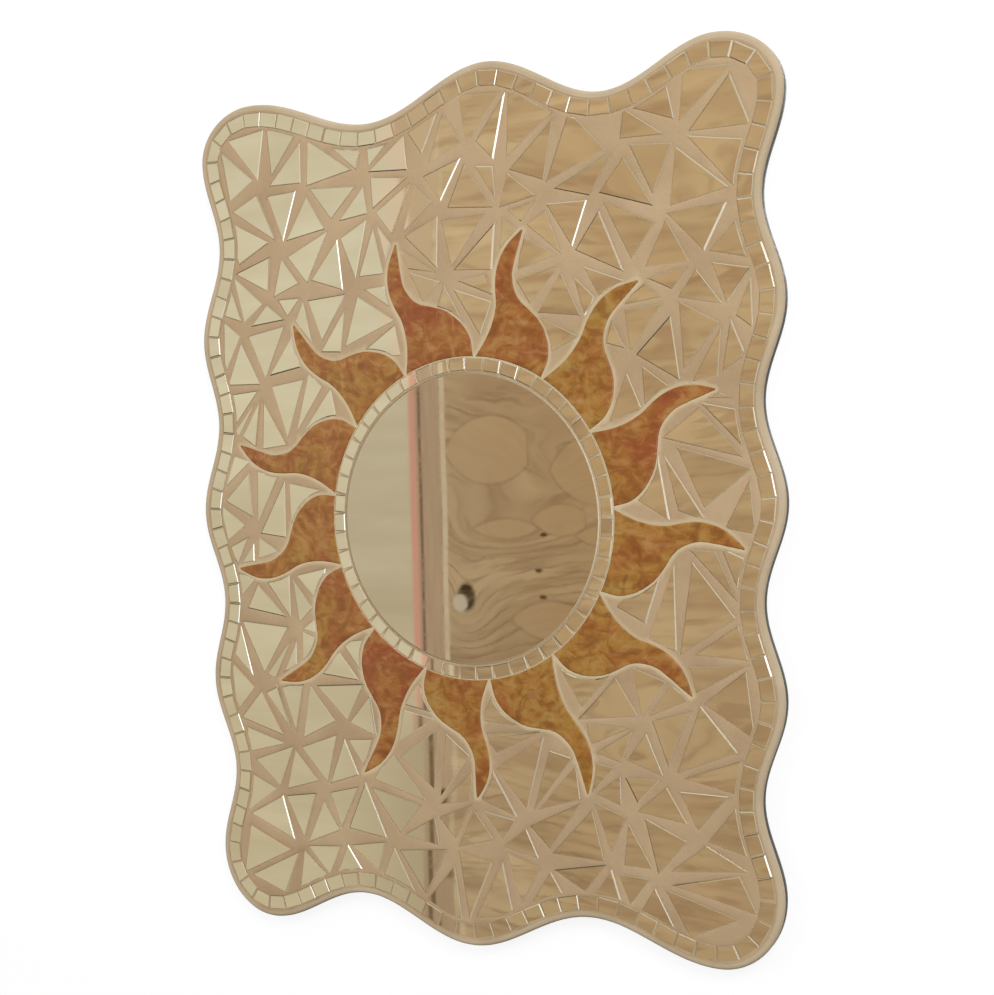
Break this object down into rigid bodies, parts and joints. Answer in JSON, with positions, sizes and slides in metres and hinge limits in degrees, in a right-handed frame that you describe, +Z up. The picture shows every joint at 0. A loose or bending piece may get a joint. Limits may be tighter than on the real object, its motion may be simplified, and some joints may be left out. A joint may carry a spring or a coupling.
{
  "type": "mosaic sunburst wall mirror",
  "caption": "Wavy-edged wall panel with a round centre mirror, curling stained-glass rays and mirror shards set in grout, with swinging hanger rings on the back.",
  "frame": {"origin": "on the wall plane that the four pads touch, behind the centre of the panel's overall outline", "axes": "+X to the right seen from the front, +Y into the wall, +Z up; the mirror faces -Y"},
  "size_m": [0.6099, 0.0185, 0.8058],
  "materials": {
    "board_paint": "dark painted board",
    "adhesive": "dried tile adhesive",
    "grout": "fine sandy tan grout",
    "mirror_glass": "silvered mirror glass",
    "stained_glass": "mottled amber stained glass, opaque on its bed",
    "hanger_steel": "brass plated steel",
    "screw_steel": "zinc plated steel",
    "pad_rubber": "black rubber"
  },
  "bodies": {
    "panel": {"backing_board": "board_paint", "adhesive_bed": "adhesive", "grout_field": "grout", "grout_rim": "grout", "centre_mirror": "mirror_glass", "ring_tile_set": "mirror_glass", "sun_ray_01": "stained_glass", "sun_ray_02": "stained_glass", "sun_ray_03": "stained_glass", "sun_ray_04": "stained_glass", "sun_ray_05": "stained_glass", "sun_ray_06": "stained_glass", "sun_ray_07": "stained_glass", "sun_ray_08": "stained_glass", "sun_ray_09": "stained_glass", "sun_ray_10": "stained_glass", "sun_ray_11": "stained_glass", "sun_ray_12": "stained_glass", "sun_ray_13": "stained_glass", "border_tiles_top": "mirror_glass", "border_tiles_left": "mirror_glass", "border_tiles_bottom": "mirror_glass", "border_tiles_right": "mirror_glass", "mirror_shards_01": "mirror_glass", "mirror_shards_02": "mirror_glass", "mirror_shards_03": "mirror_glass", "mirror_shards_04": "mirror_glass", "mirror_shards_05": "mirror_glass", "mirror_shards_06": "mirror_glass", "mirror_shards_07": "mirror_glass", "mirror_shards_08": "mirror_glass", "mirror_shards_09": "mirror_glass", "mirror_shards_10": "mirror_glass", "mirror_shards_11": "mirror_glass", "mirror_shards_12": "mirror_glass", "mirror_shards_13": "mirror_glass", "hanger_strap_left": "hanger_steel", "hanger_strap_right": "hanger_steel", "hanger_screws_left": "screw_steel", "hanger_screws_right": "screw_steel", "wall_pad_top_left": "pad_rubber", "wall_pad_top_right": "pad_rubber", "wall_pad_bottom_left": "pad_rubber", "wall_pad_bottom_right": "pad_rubber"},
    "ring_left": {"hanger_ring_left": "hanger_steel"},
    "ring_right": {"hanger_ring_right": "hanger_steel"}
  },
  "joints": [
    {"name": "ring_left_swing", "type": "hinge", "parent": "panel", "child": "ring_left", "pos_m": [-0.18, -0.0035, 0.25], "axis": [1, 0, 0], "range_deg": [0, 183]},
    {"name": "ring_right_swing", "type": "hinge", "parent": "panel", "child": "ring_right", "pos_m": [0.18, -0.0035, 0.25], "axis": [1, 0, 0], "range_deg": [0, 183]}
  ]
}
